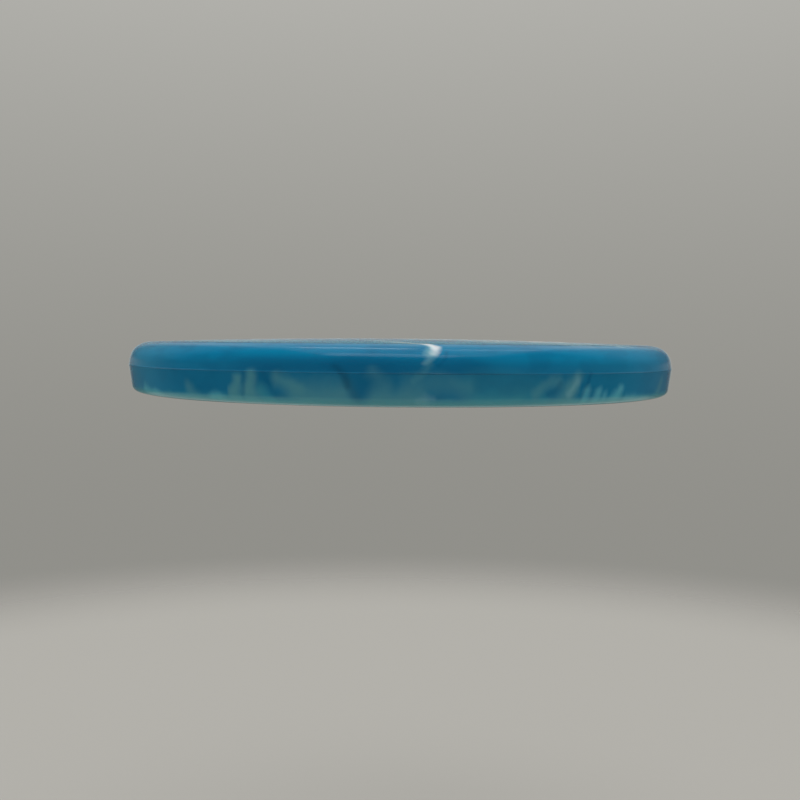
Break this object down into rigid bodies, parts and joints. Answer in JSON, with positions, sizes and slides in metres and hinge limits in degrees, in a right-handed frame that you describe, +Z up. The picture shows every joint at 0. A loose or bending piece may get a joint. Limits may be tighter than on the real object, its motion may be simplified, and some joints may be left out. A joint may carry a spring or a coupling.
{
  "type": "flying disc",
  "caption": "Round flying disc of the golf putter kind, with a gently domed plate inside a deep, blunt rim, moulded in swirled blue plastic.",
  "frame": {"origin": "on the disc's axis, in the plane that the rim's foot stands on", "axes": "+Z up along the disc's axis, out of the domed side; the disc is round, so -Y, the side towards the picture's camera, differs from the others only in its swirl"},
  "size_m": [0.2112, 0.2112, 0.0212],
  "materials": {
    "disc_plastic": "glossy, slightly translucent blue with pale and grey-teal swirls"
  },
  "bodies": {
    "root": {"flight_plate": "disc_plastic", "rim": "disc_plastic"}
  },
  "joints": []
}
